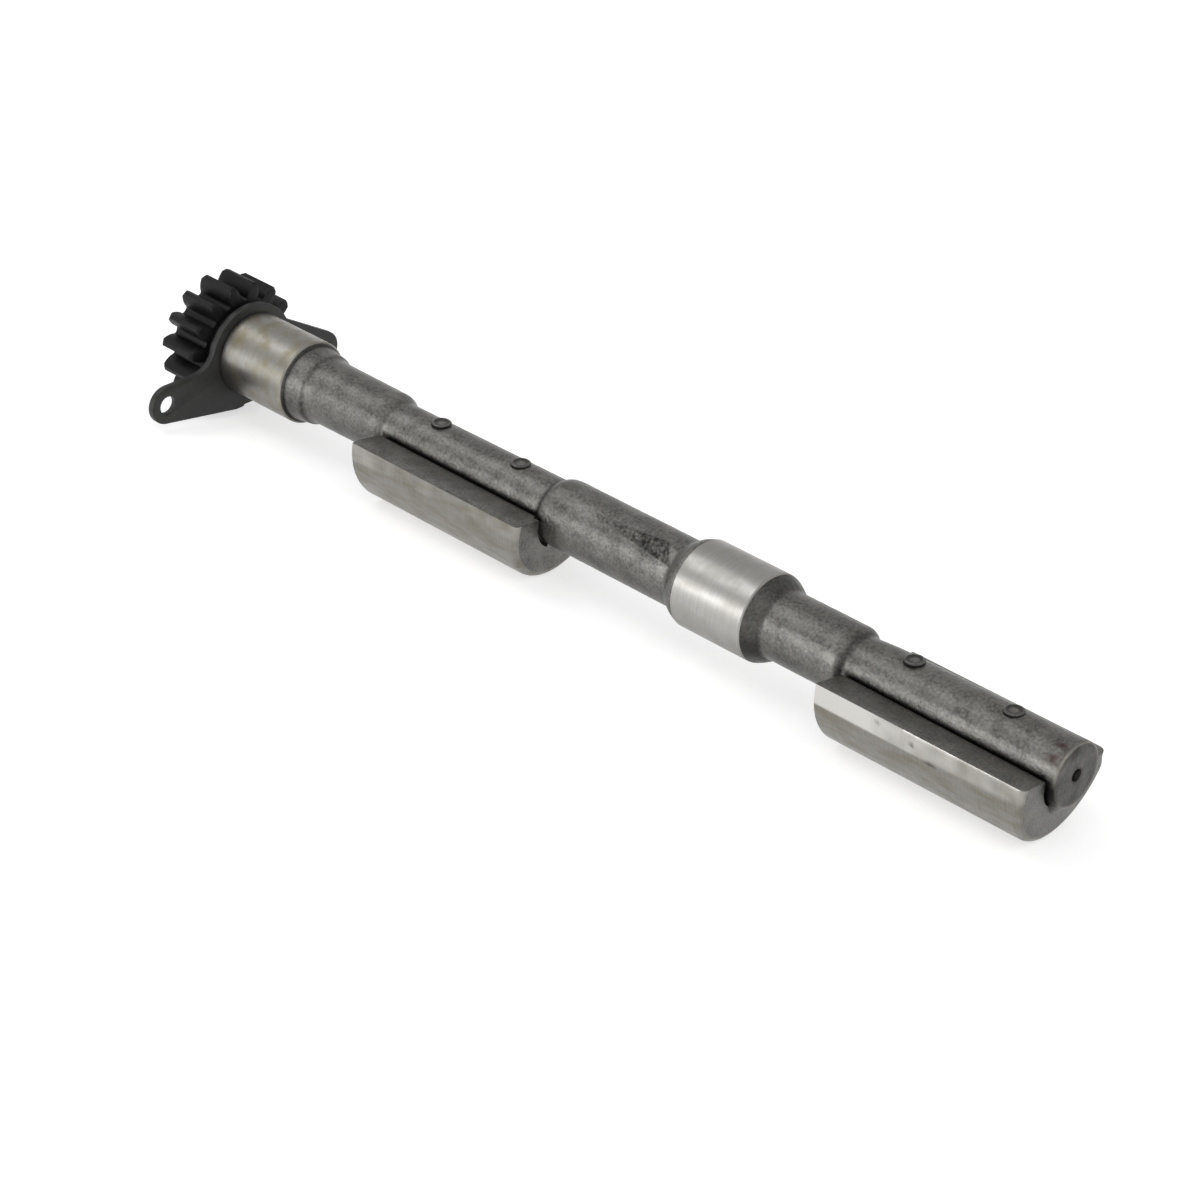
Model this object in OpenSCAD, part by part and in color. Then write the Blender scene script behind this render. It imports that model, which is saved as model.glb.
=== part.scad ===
// Balance shaft of a four-cylinder engine: cast shaft, pressed drive gear, loose thrust plate and key.
// Millimetres. X runs along the shaft from the gear to the plain end, Y away from the viewer, Z up.
// The origin is on the shaft's axis, halfway along the front journal.
// Everything is drawn from the front journal's thrust face.
// The weights hang straight down, because the shaft comes to rest on their round sides.

/* [Journals] */
// Diameter of both ground journals
journal_d = 38.15; // [37:0.05:40]
// Length of the front journal, from its thrust face
front_journal_l = 39.8; // [36:0.1:42]
// Start of the middle journal, from the thrust face
mid_journal_x = 276; // [270:0.5:282]
// Length of the middle journal
mid_journal_l = 34.4; // [30:0.1:36]
// Edge break at the ends of a journal
journal_edge = 0.6; // [0.2:0.1:1.2]
// Cast shoulder behind the front journal, length
front_shoulder_l = 16; // [10:0.5:20]
// Cast cone before the middle journal and rough shoulder behind it, length
mid_shoulder_l = 8.5; // [6:0.5:10]

/* [Stems] */
// Diameter of the stem behind the front journal
front_stem_d = 28.6; // [26:0.1:31]
// Diameter of the stem before the middle journal
mid_stem_d = 29.6; // [28:0.1:31]
// Diameter of the stem behind the middle journal
rear_stem_d = 29.3; // [28:0.1:31]
// Diameter of the thinner stem over a weight, at its front end
neck_front_d = 23.4; // [20:0.1:24]
// The same stem over the first weight, at its rear end
first_neck_d = 24.8; // [23:0.1:26]
// The same stem over the second weight, at its rear end
second_neck_d = 27.2; // [25:0.1:28]
// Rounded step from a stem down to the thinner stem, length
step_l = 9.5; // [6:0.5:12]

/* [Weights] */
// Outer diameter of the half-round weights
weight_d = 61.1; // [56:0.1:62]
// Length of a weight on the shaft's axis
weight_l = 96.6; // [90:0.1:100]
// Front end of the first weight, from the thrust face
first_weight_x = 99.3; // [95:0.1:104]
// Front end of the second weight, from the thrust face
second_weight_x = 359.2; // [355:0.1:362]
// Lean of a weight's rear end, its lower edge set forward, degrees
end_lean = 7.7; // [0:0.1:10]
// Skew of a weight's rear end, its far edge set forward, degrees
end_skew = 5.7; // [0:0.1:8]
// Chamfer round a weight's rear end
end_chamfer = 0.8; // [0.4:0.1:2]
// Edge break round a weight's front end
front_chamfer = 0.5; // [0.3:0.1:1.5]
// Width of the channel between a weight's ledge and its stem
channel_w = 2.2; // [1:0.1:4]
// Depth of that channel below the ledge
channel_deep = 1.6; // [0.5:0.1:3]
// Width of the groove round the stem in a weight's rear end
groove_w = 1.4; // [0.6:0.1:2.4]
// Depth of that groove
groove_deep = 3; // [1:0.5:6]
// Where the groove ends under the stem, measured sideways from the axis
groove_side = 4.8; // [2:0.1:8]
// Length of the ground flat on the second weight's near edge
flat_l = 42.8; // [30:0.1:60]
// Width of that flat as an angle seen from the axis, degrees
flat_angle = 15; // [8:0.5:20]

/* [Cast pads] */
// Diameter of the round pads on the thinner stems
pad_d = 9.6; // [6:0.1:12]
// Height of a pad above the stem
pad_h = 1; // [0.4:0.1:2]
// Lean of the pads from the top towards the near side, degrees
pad_lean = 9.5; // [0:0.5:15]
// First pad of a weight, from its front end
pad_first = 22.8; // [18:0.1:30]
// Second pad of a weight, from its front end
pad_second = 70.6; // [60:0.1:75]

/* [Front end] */
// Diameter of the seat that the gear is pressed on
seat_d = 25; // [22:0.1:26]
// Diameter of the neck that the thrust plate turns on
neck_d = 29; // [28:0.1:31]
// Shaft end set back inside the gear's back face
seat_back = 0.8; // [0.4:0.1:2]
// Plain end of the shaft, from the thrust face
rear_end_x = 460.7; // [458:0.1:464]
// Diameter of the countersunk centre holes in both ends
centre_d = 5.4; // [4:0.1:7]
// Diameter of the drilled part of the centre holes
centre_drill_d = 2.6; // [2:0.1:3.6]
// Depth of the centre holes
centre_deep = 8; // [6:0.5:12]

/* [Drive gear] */
// Number of teeth
teeth = 15; // [14:1:16]
// Module of the teeth
tooth_module = 3.5; // [3.1:0.01:3.5]
// Profile shift of the teeth, in modules
profile_shift = 0.2; // [0:0.01:0.2]
// Pressure angle, degrees
pressure_angle = 20; // [18:0.5:22]
// Length of the teeth
tooth_l = 20.5; // [18:0.1:24]
// Turn of the gear on the shaft: a tooth's angle from straight down, degrees
tooth_turn = 7.1; // [0:0.1:12]
// Chamfer on both ends of the tooth tips
tooth_chamfer = 1.1; // [0.4:0.1:2]
// Diameter of the thrust boss that faces the plate
boss_d = 41; // [38:0.5:43]
// Height of that boss above the tooth ends
boss_h = 3.1; // [2:0.1:4]

/* [Thrust plate] */
// Thickness of the plate
plate_t = 3.2; // [2.6:0.1:4]
// End play on each side of the plate
end_play = 0.1; // [0.05:0.01:0.2]
// Radial clearance between the plate and the neck
plate_clear = 0.08; // [0.03:0.01:0.1]
// Radius of the plate's round middle
plate_r = 23; // [22:0.1:24]
// Radius of the plate's ears
ear_r = 8.8; // [8:0.1:9.4]
// Diameter of the bolt holes
bolt_d = 8.5; // [7:0.1:9]
// Near bolt hole, distance from the axis
near_hole_r = 49.6; // [47:0.1:52]
// Near bolt hole, degrees below the horizontal
near_hole_drop = 10.8; // [9:0.1:13]
// Far bolt hole, distance from the axis
far_hole_r = 44.4; // [43:0.1:49]
// Far bolt hole, degrees below the horizontal
far_hole_drop = 17.9; // [14:0.1:20]
// Fillet between the near ear and the middle
ear_fillet = 12; // [8:0.5:14]
// Lower corners of the plate, distance from the middle line
corner_y = 10; // [9:0.1:13]
// Lower corners of the plate, depth below the axis
corner_z = 25.3; // [25:0.1:27]
// Width of the notch between the lower corners
notch_w = 15; // [10:0.5:16]
// Height of that notch
notch_h = 0.8; // [0.5:0.1:1.5]
// Turn of the plate on its neck as photographed, its near ear down, degrees
plate_turn = 11.2; // [-30:0.1:30]
// Angle at which the far ear's straight upper edge leaves the middle, degrees
far_edge_angle = 24; // [20:0.5:30]

/* [Key] */
// Width of the woodruff key
key_w = 5; // [4:0.1:6]
// Diameter of the key's round side
key_round_d = 16; // [14:0.5:17]
// Depth of the key in the shaft
key_in_shaft = 4.5; // [3.5:0.1:5]
// Depth of the key in the gear
key_in_gear = 2; // [1.5:0.1:2.4]
// Clearance over the key and beside it in the gear
key_clear = 0.3; // [0.1:0.05:0.5]

/* [Hidden] */
$fn = 120;
journal_r = journal_d / 2;
weight_r = weight_d / 2;
neck_r = neck_d / 2;
seat_r = seat_d / 2;
// gap between the gear's boss and the journal, filled by the plate and its end play
plate_gap = plate_t + 2 * end_play;
gear_back_x = -plate_gap - boss_h - tooth_l;
seat_end_x = gear_back_x + seat_back;
mid_journal_end = mid_journal_x + mid_journal_l;
first_weight_end = first_weight_x + weight_l;
second_weight_end = second_weight_x + weight_l;
// angle by which the ground flat's plane would run on above the ledge
flat_over = 1.5;
pitch_r = tooth_module * teeth / 2;
tip_r = pitch_r + (1 + profile_shift) * tooth_module;
root_r = pitch_r - (1.25 - profile_shift) * tooth_module;
base_r = pitch_r * cos(pressure_angle);
root_fillet = 0.38 * tooth_module;
key_x = gear_back_x + (tooth_l + boss_h) / 2;
near_hole = near_hole_r * [-cos(near_hole_drop), -sin(near_hole_drop)];
far_hole = far_hole_r * [cos(far_hole_drop), -sin(far_hole_drop)];

// falls from radius r0 to r1: convex for p under 1, hollow for p over 1
function fall(x0, r0, x1, r1, p, n = 6) =
    [for (i = [0 : n]) [x0 + (x1 - x0) * i / n, r1 + (r0 - r1) * pow(1 - i / n, p)]];

// climbs from radius r0 to r1: convex for p under 1
function climb(x0, r0, x1, r1, p, n = 6) =
    [for (i = [0 : n]) [x0 + (x1 - x0) * i / n, r0 + (r1 - r0) * pow(i / n, p)]];

// a ground journal from x0 to x1 with broken edges
function journal(x0, x1) = [
    [x0, journal_r - journal_edge], [x0 + journal_edge, journal_r],
    [x1 - journal_edge, journal_r], [x1, journal_r - journal_edge]
];

// outline of the whole shaft as distance along the axis and radius
function shaft_outline() = concat(
    [[seat_end_x, 0], [seat_end_x, seat_r - 1], [seat_end_x + 1, seat_r], [-plate_gap, seat_r]],
    [[-plate_gap, neck_r], [0, neck_r]],
    journal(0, front_journal_l),
    fall(front_journal_l + 0.4, journal_r - 0.9, front_journal_l + front_shoulder_l, front_stem_d / 2, 1.35),
    fall(first_weight_x - step_l - 0.8, front_stem_d / 2, first_weight_x - 0.8, neck_front_d / 2, 0.6),
    climb(first_weight_end - 6.6, first_neck_d / 2, first_weight_end + 6, mid_stem_d / 2, 0.42),
    climb(mid_journal_x - mid_shoulder_l - 1.5, mid_stem_d / 2, mid_journal_x - 0.3, journal_r - 0.9, 0.8),
    journal(mid_journal_x, mid_journal_end),
    fall(mid_journal_end + 0.3, journal_r - 0.8, mid_journal_end + mid_shoulder_l, rear_stem_d / 2, 0.8),
    fall(second_weight_x - step_l, rear_stem_d / 2, second_weight_x - 0.3, neck_front_d / 2 + 0.3, 0.7),
    climb(second_weight_x, neck_front_d / 2 + 0.3, second_weight_end, second_neck_d / 2, 0.4),
    [[rear_end_x - 1, second_neck_d / 2], [rear_end_x, second_neck_d / 2 - 1], [rear_end_x, 0]]
);

// involute function in degrees
function involute(a) = tan(a) * 180 / PI - a;

// half the angle that a tooth fills at radius r
function tooth_half(r) =
    (90 + 2 * profile_shift * tan(pressure_angle) * 180 / PI) / teeth
    + involute(pressure_angle) - involute(acos(min(1, base_r / r)));

// one side of a tooth from root to tip, as radius and angle from the tooth's middle
function tooth_side(n = 8) = concat(
    [for (a = [0 : 30 : 60]) [root_r + root_fillet * (1 - cos(a)),
        tooth_half(base_r) + root_fillet * (1 - sin(a)) / root_r * 180 / PI]],
    [for (i = [0 : n]) let (r = base_r + (tip_r - base_r) * i / n) [r, tooth_half(r)]]
);

// corners of the whole gear, its first tooth turned a little from straight down
function gear_corners() = let (side = tooth_side(), last = len(side) - 1) [
    for (k = [0 : teeth - 1], i = [0 : 2 * last + 1])
        let (up = i <= last, q = side[up ? i : 2 * last + 1 - i])
        let (a = k * 360 / teeth - 90 + tooth_turn + (up ? -q[1] : q[1]))
        q[0] * [cos(a), sin(a)]
];

// angle at which a line from p touches the circle of radius r round c, on one side of it
function touch(c, r, p, side) =
    let (d = p - c)
    atan2(d[1], d[0]) + side * acos(r / norm(d));

// points of an arc round c
function arc(c, r, a0, a1, n) =
    [for (i = [0 : n]) let (a = a0 + (a1 - a0) * i / n) c + r * [cos(a), sin(a)]];

// a flat outline drawn across the shaft (sideways, up) and given thickness t from x on
module slice(x, t) {
    translate([x, 0, 0])
        rotate([90, 0, 90])
            linear_extrude(t)
                children();
}

// a round bar along the shaft
module bar(x, d, l) {
    translate([x, 0, 0])
        rotate([0, 90, 0])
            cylinder(d = d, h = l);
}

// a profile of distance along the axis and radius, turned about the shaft's axis
module turned(profile) {
    rotate([0, 90, 0])
        rotate_extrude()
            polygon([for (q = profile) [q[1], q[0]]]);
}

// moves a piece to the part's origin
module at_origin() {
    translate([-front_journal_l / 2, 0, 0])
        children();
}

// material cut off beyond the slanted rear end of a weight, with its chamfer
module rear_cut(x) {
    translate([x, 0, 0])
        rotate([0, end_lean, end_skew]) {
            translate([0, -weight_d, -weight_d])
                cube([30, 2 * weight_d, 2 * weight_d]);
            turned([[-end_chamfer, weight_r], [1, weight_r - end_chamfer - 1],
                [1, weight_d], [-end_chamfer, weight_d]]);
        }
}

// half-round weight below its ledge, without the stem; end_stem_d is the stem where it leaves the rear end
module weight(x, stem_front_d, stem_rear_d, end_stem_d) {
    difference() {
        turned([[x, 0], [x, weight_r - front_chamfer], [x + front_chamfer, weight_r],
            [x + weight_l + 12, weight_r], [x + weight_l + 12, 0]]);
        translate([x - 1, -weight_d, 0])
            cube([weight_l + 14, 2 * weight_d, weight_d]);
        rear_cut(x + weight_l);
        // channel on both sides of the stem
        intersection() {
            turned([[x - 1, 0], [x - 1, stem_front_d / 2 + channel_w],
                [x + weight_l + 13, stem_rear_d / 2 + channel_w], [x + weight_l + 13, 0]]);
            translate([x - 1, -weight_r, -channel_deep])
                cube([weight_l + 14, weight_d, weight_r]);
        }
        // groove round the stem on the near side of the rear end
        intersection() {
            bar(x + weight_l - groove_deep, end_stem_d + 2 * groove_w, 20);
            translate([x + weight_l - groove_deep - 1, -weight_r - groove_side, -weight_r])
                cube([30, weight_r, weight_d]);
        }
    }
}

// round pad standing on the thinner stem
module pad(x, stem_r) {
    rotate([pad_lean, 0, 0])
        translate([x, 0, stem_r - 3])
            cylinder(d = pad_d, h = 3 + pad_h);
}

// countersunk centre hole, drilled from x towards the middle of the shaft
module centre_hole(x, way) {
    cone_l = (centre_d - centre_drill_d) / 2 / tan(30);
    translate([x, 0, 0])
        rotate([0, way * 90, 0]) {
            translate([0, 0, -1])
                cylinder(d = centre_drill_d, h = centre_deep + 1);
            cylinder(d1 = centre_d, d2 = centre_drill_d, h = cone_l);
        }
}

// woodruff key, also the shape of its seat in the shaft
module key_shape(top) {
    intersection() {
        translate([key_x, 0, seat_r - key_in_shaft + key_round_d / 2])
            rotate([90, 0, 0])
                cylinder(d = key_round_d, h = key_w, center = true);
        translate([key_x - key_round_d, -key_w, 0])
            cube([2 * key_round_d, 2 * key_w, top]);
    }
}

module shaft() {
    color([0.55, 0.55, 0.53])
        at_origin()
            difference() {
                union() {
                    turned(shaft_outline());
                    weight(first_weight_x, neck_front_d, first_neck_d, mid_stem_d);
                    weight(second_weight_x, neck_front_d, second_neck_d, second_neck_d);
                    for (p = [pad_first, pad_second]) {
                        pad(first_weight_x + p, (neck_front_d + first_neck_d) / 4);
                        pad(second_weight_x + p, (neck_front_d + 3 * second_neck_d) / 8);
                    }
                }
                centre_hole(seat_end_x, 1);
                centre_hole(rear_end_x, -1);
                key_shape(seat_r + 5);
                // flat ground on the near edge of the second weight, running out past its ledge
                rotate([(flat_angle - flat_over) / 2, 0, 0])
                    translate([second_weight_x - 1, -weight_r - 5, -weight_r])
                        cube([flat_l + 1, 5 + weight_r * (1 - cos((flat_angle + flat_over) / 2)), weight_d]);
            }
}

module drive_gear() {
    color([0.16, 0.16, 0.16])
        at_origin()
            difference() {
                union() {
                    intersection() {
                        slice(gear_back_x, tooth_l)
                            polygon(gear_corners());
                        turned([[gear_back_x, 0], [gear_back_x, tip_r - tooth_chamfer],
                            [gear_back_x + tooth_chamfer, tip_r + 0.01],
                            [gear_back_x + tooth_l - tooth_chamfer, tip_r + 0.01],
                            [gear_back_x + tooth_l, tip_r - tooth_chamfer], [gear_back_x + tooth_l, 0]]);
                    }
                    bar(gear_back_x + 1, boss_d, tooth_l + boss_h - 1);
                }
                // bore with a lead-in at its back end
                bar(gear_back_x - 1, seat_d, tooth_l + boss_h + 2);
                turned([[gear_back_x - 1, 0], [gear_back_x - 1, seat_r + 2],
                    [gear_back_x + 1, seat_r], [gear_back_x + 1, 0]]);
                // keyway
                translate([gear_back_x - 1, -key_w / 2 - key_clear / 10, 0])
                    cube([tooth_l + boss_h + 2, key_w + key_clear / 5, seat_r + key_in_gear + key_clear]);
            }
}

// corners of the plate's outline (sideways, up), anticlockwise from the top of the near ear
function plate_corners() =
    let (near_corner = [-corner_y, -corner_z], far_corner = [corner_y, -corner_z])
    let (near_top = near_hole[1] + ear_r, fillet_z = near_top + ear_fillet)
    let (fillet_c = [-sqrt(pow(plate_r + ear_fillet, 2) - pow(fillet_z, 2)), fillet_z])
    let (fillet_a = atan2(fillet_c[1], fillet_c[0]))
    let (far_edge = plate_r * [cos(far_edge_angle), sin(far_edge_angle)])
    concat(
        arc(near_hole, ear_r, 90, 360 + touch(near_hole, ear_r, near_corner, -1), 28),
        [near_corner, [-notch_w / 2, -corner_z], [-notch_w / 2, -corner_z + notch_h]],
        [[notch_w / 2, -corner_z + notch_h], [notch_w / 2, -corner_z], far_corner],
        arc(far_hole, ear_r, touch(far_hole, ear_r, far_corner, 1), touch(far_hole, ear_r, far_edge, -1), 24),
        arc([0, 0], plate_r, far_edge_angle, fillet_a, 32),
        arc(fillet_c, ear_fillet, fillet_a - 180, -90, 12)
    );

module thrust_plate() {
    color([0.2, 0.2, 0.2])
        at_origin()
            rotate([plate_turn, 0, 0])
                difference() {
                    slice(-plate_t - end_play, plate_t)
                        polygon(plate_corners());
                    bar(-plate_t - 2, neck_d + 2 * plate_clear, plate_t + 4);
                    for (h = [near_hole, far_hole]) {
                        translate([0, h[0], h[1]])
                            bar(-plate_t - 2, bolt_d, plate_t + 4);
                    }
                }
}

module woodruff_key() {
    color([0.4, 0.4, 0.4])
        at_origin()
            key_shape(seat_r + key_in_gear);
}

shaft();
drive_gear();
thrust_plate();
woodruff_key();
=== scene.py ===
"""Balance shaft of a piston engine: cast shaft with two weights, drive gear and thrust plate."""
import math

import bmesh
import bpy
from bpy.props import (FloatProperty, FloatVectorProperty, IntProperty,
                       PointerProperty)
from mathutils import Matrix, Vector, noise


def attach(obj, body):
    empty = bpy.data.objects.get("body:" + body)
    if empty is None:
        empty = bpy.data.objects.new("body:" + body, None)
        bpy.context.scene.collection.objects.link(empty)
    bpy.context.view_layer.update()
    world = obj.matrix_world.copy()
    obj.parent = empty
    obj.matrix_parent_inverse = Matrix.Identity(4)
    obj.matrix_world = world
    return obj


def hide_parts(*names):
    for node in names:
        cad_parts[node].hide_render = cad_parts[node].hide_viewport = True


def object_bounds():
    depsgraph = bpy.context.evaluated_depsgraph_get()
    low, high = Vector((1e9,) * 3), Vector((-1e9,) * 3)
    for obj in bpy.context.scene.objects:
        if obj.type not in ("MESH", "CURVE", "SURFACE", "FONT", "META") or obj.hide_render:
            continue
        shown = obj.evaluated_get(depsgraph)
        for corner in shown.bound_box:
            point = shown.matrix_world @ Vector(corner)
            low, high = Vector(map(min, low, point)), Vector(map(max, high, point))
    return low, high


bl_info = {
    "name": "Balance shaft",
    "version": (1, 0, 0),
    "blender": (4, 5, 0),
    "location": "View3D > Sidebar > Balance shaft",
    "description": "Builds an engine balance shaft with its gear and thrust plate",
    "category": "Object",
}

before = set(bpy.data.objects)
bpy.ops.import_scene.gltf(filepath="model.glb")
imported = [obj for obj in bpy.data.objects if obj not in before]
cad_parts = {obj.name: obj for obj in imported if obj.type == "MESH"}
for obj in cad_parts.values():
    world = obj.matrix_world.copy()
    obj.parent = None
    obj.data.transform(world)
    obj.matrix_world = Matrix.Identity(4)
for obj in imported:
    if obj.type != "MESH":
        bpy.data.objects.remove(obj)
CAD_BOX = [list(corner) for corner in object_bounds()]
MM = 0.001
TAU = 2 * math.pi
# The front journal's thrust face, from which lengths along the shaft are measured.
FACE_X = -0.0199


def linear(hex_code):
    """sRGB hex colour as linear RGBA."""
    steps = [int(hex_code[i:i + 2], 16) / 255 for i in (1, 3, 5)]
    return tuple(c / 12.92 if c < 0.04045 else ((c + 0.055) / 1.055) ** 2.4
                 for c in steps) + (1.0,)


def angle(name, degrees, description):
    """An angle property, given in degrees."""
    return FloatProperty(name=name, description=description, default=math.radians(degrees),
                         subtype="ANGLE", unit="ROTATION")


def length(name, millimetres, description):
    """A length property, given in millimetres."""
    return FloatProperty(name=name, description=description, default=millimetres * MM,
                         unit="LENGTH", subtype="DISTANCE", precision=5)


def colour(name, hex_code, description):
    """A colour property, given as sRGB hex."""
    return FloatVectorProperty(name=name, description=description, size=4, min=0, max=1,
                               subtype="COLOR", default=linear(hex_code))


class ShaftSizes(bpy.types.PropertyGroup):
    """Sizes of the turned and cast shaft."""
    journal_d: length("Journal diameter", 38.15, "Both ground journals")
    front_journal_l: length("Front journal length", 39.8, "Journal behind the thrust plate")
    mid_journal_x: length("Middle journal place", 273.4, "From the thrust face")
    mid_journal_l: length("Middle journal length", 36.8, "Second journal")
    front_stem_d: length("Front stem diameter", 28.6, "Before the first weight")
    mid_stem_d: length("Middle stem diameter", 29.6, "Between the weights")
    rear_stem_d: length("Rear stem diameter", 29.3, "Behind the middle journal")
    neck_front_d: length("Neck diameter", 23.4, "Stem where it meets a weight")
    first_neck_d: length("First neck diameter", 24.8, "Stem at the first weight's rear")
    second_neck_d: length("Second neck diameter", 27.2, "Stem at the second weight's rear")
    seat_d: length("Gear seat diameter", 25, "Inside the drive gear")
    plate_neck_d: length("Plate neck diameter", 29, "Inside the thrust plate")
    seat_end_x: length("Front end", -26.2, "From the thrust face")
    rear_end_x: length("Rear end", 460.7, "From the thrust face")
    casting_grit: length("Casting grit", 0.1, "How far the sand-cast skin stands up and down")


class WeightSizes(bpy.types.PropertyGroup):
    """Sizes of the two counterweights."""
    diameter: length("Diameter", 61.1, "Turned outer side")
    long: length("Length", 96.6, "From the front end to the axis at the rear end")
    first_x: length("First weight", 99.3, "Its front end, from the thrust face")
    second_x: length("Second weight", 359.2, "Its front end, from the thrust face")
    channel_w: length("Channel width", 2.2, "Recess between stem and ledge")
    channel_deep: length("Channel depth", 1.6, "Below the ledge")
    groove_w: length("Groove width", 1.4, "Round the stem at the rear end")
    groove_deep: length("Groove depth", 3, "In from the rear end")
    flat_l: length("Ground flat", 42.8, "Length of the flat on the second weight")
    end_lean: angle("End lean", 7.7, "First weight's rear end leans back at its top")
    end_skew: angle("End skew", 5.7, "First weight's rear end turns to the near side")
    second_lean: angle("Second lean", 5.8, "Second weight's rear end leans back at its top")
    second_skew: angle("Second skew", 4.7, "Second weight's rear end turns to the near side")
    second_longer: length("Second longer", 1, "Second weight's rear end stands further back")
    rim_r: length("Rear rim", 2.8, "Rounding of the rear end's outer edge")
    pad_d: length("Pad diameter", 8.8, "Round cast pads on the stem")
    pad_h: length("Pad height", 1, "Above the stem")
    pad_lean: angle("Pad lean", 9.5, "Pads lean to the near side")


class GearSizes(bpy.types.PropertyGroup):
    """Sizes of the drive gear."""
    teeth: IntProperty(name="Teeth", description="Number of teeth", default=15, min=9, max=40)
    tooth_module: length("Module", 3.5, "Pitch diameter over the number of teeth")
    shift: FloatProperty(name="Profile shift", description="In modules", default=0.2)
    pressure: angle("Pressure angle", 20, "Of the involute flanks")
    turn: angle("First tooth", 7.1, "Turned from straight down")
    tooth_l: length("Face width", 20.5, "Length of the teeth")
    tooth_chamfer: length("Tip chamfer", 1.1, "At both ends of each tooth")
    boss_d: length("Boss diameter", 41, "Round boss that meets the plate")
    boss_h: length("Boss height", 3.1, "In front of the teeth")
    boss_x: length("Boss face", -3.4, "From the thrust face")
    keyway_w: length("Keyway width", 5.06, "Slot along the bore")
    keyway_h: length("Keyway top", 14.8, "Above the axis")


class Finishes(bpy.types.PropertyGroup):
    """Colours of the metals."""
    cast_skin: colour("Cast skin", "#706f6b", "Blasted grey iron")
    # The tint of painted shade in recesses, creases and undersides, and of dirt.
    cast_shade_and_soil: colour("Soil", "#171615", "Dirt and shade in recesses")
    burn: colour("Heat mark", "#4a3634", "Reddish mark at the rear end")
    ground: colour("Ground journal", "#b0afac", "Ground iron")
    ground_dull: colour("Dull journal", "#9e9c97", "Ground iron that has dulled")
    ground_stain: colour("Journal stain", "#8f8877", "Dried oil on the journals")
    turned: colour("Turned side", "#898782", "Turned outer side of the weights")
    turned_stain: colour("Side stain", "#7a7567", "Dried oil on the weights")
    rubbed: colour("Rubbed edge", "#d0cec9", "Freshly ground edge of the second weight")
    phosphate: colour("Gear black", "#131313", "Phosphated and oiled gear")
    plate: colour("Plate black", "#333332", "Phosphated thrust plate")
    key: colour("Key steel", "#8d8b86", "Drawn key steel")


# Materials

def put(tree, kind, inputs=None, **settings):
    """Adds a node with its settings; inputs are values or sockets to link."""
    made = tree.nodes.new(kind)
    for key, value in settings.items():
        setattr(made, key, value)
    for key, value in (inputs or {}).items():
        if isinstance(value, bpy.types.NodeSocket):
            tree.links.new(value, made.inputs[key])
        else:
            made.inputs[key].default_value = value
    return made


def new_material(name):
    """A material with its shader, its tree and Object coordinates."""
    material = bpy.data.materials.new(name)
    material.use_nodes = True
    tree = material.node_tree
    shader = tree.nodes["Principled BSDF"]
    spot = put(tree, "ShaderNodeTexCoord").outputs["Object"]
    return material, tree, shader, spot


def noise_texture(tree, where, millimetres, detail=2.0, roughness=0.5):
    """Noise with features that many millimetres wide."""
    return put(tree, "ShaderNodeTexNoise",
               {"Vector": where, "Scale": 1 / (millimetres * MM), "Detail": detail,
                "Roughness": roughness}).outputs["Fac"]


def drawn_out(tree, where, shares):
    """Coordinates that draw a texture out along the axes with a small share."""
    return put(tree, "ShaderNodeMapping", {"Vector": where, "Scale": shares}).outputs[0]


def ramp(tree, value, low, high, at_low, at_high):
    """Maps a value from one range to another and stays inside it."""
    return put(tree, "ShaderNodeMapRange",
               {"Value": value, "From Min": low, "From Max": high, "To Min": at_low,
                "To Max": at_high}).outputs["Result"]


def mix(tree, share, first, second, kind="MIX"):
    """Mixes two colours by a share."""
    return put(tree, "ShaderNodeMix", {"Factor": share, 6: first, 7: second},
               data_type="RGBA", blend_type=kind).outputs[2]


def stored(tree, name):
    """The number that the mesh stores under that name."""
    return put(tree, "ShaderNodeAttribute", attribute_name=name).outputs["Fac"]


def join_shader(tree, shader, tint, rough, height, strength, deep_mm):
    """Links colour, roughness and a bump to the shader."""
    bump = put(tree, "ShaderNodeBump", {"Height": height, "Strength": strength,
                                        "Distance": deep_mm * MM})
    tree.links.new(tint, shader.inputs["Base Color"])
    tree.links.new(rough, shader.inputs["Roughness"])
    tree.links.new(bump.outputs["Normal"], shader.inputs["Normal"])


def cast_iron_skin(look):
    """Sand-cast grey iron, blasted: matt mottled grey with a pebbled skin, with painted shade in
    its recesses.
    """
    material, tree, shader, spot = new_material("cast_iron_blasted_skin")
    # Blotches about 9 mm wide, and blasting grain drawn at 1.3 mm so that it shows.
    blotch = noise_texture(tree, spot, 9, 4.0)
    grain = noise_texture(tree, spot, 1.3, 5.0, 0.65)
    tone = put(tree, "ShaderNodeMath", {0: grain, 1: 1.8, 2: blotch}, operation="MULTIPLY_ADD")
    shade = ramp(tree, tone.outputs[0], 1.0, 1.8, 0.48, 1.5)
    skin = mix(tree, 1.0, look.cast_skin, shade, "MULTIPLY")
    # Darkened by the stored painted shade of recesses, creases and undersides, with some dirt.
    shaded_and_soiled = mix(tree, stored(tree, "shade_and_soil"), skin, look.cast_shade_and_soil)
    burnt = mix(tree, stored(tree, "scorch"), shaded_and_soiled, look.burn)
    rough = ramp(tree, grain, 0.3, 0.7, 0.3, 0.44)
    join_shader(tree, shader, burnt, rough, grain, 0.55, 0.3)
    shader.inputs["Metallic"].default_value = 0.8
    return material


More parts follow.
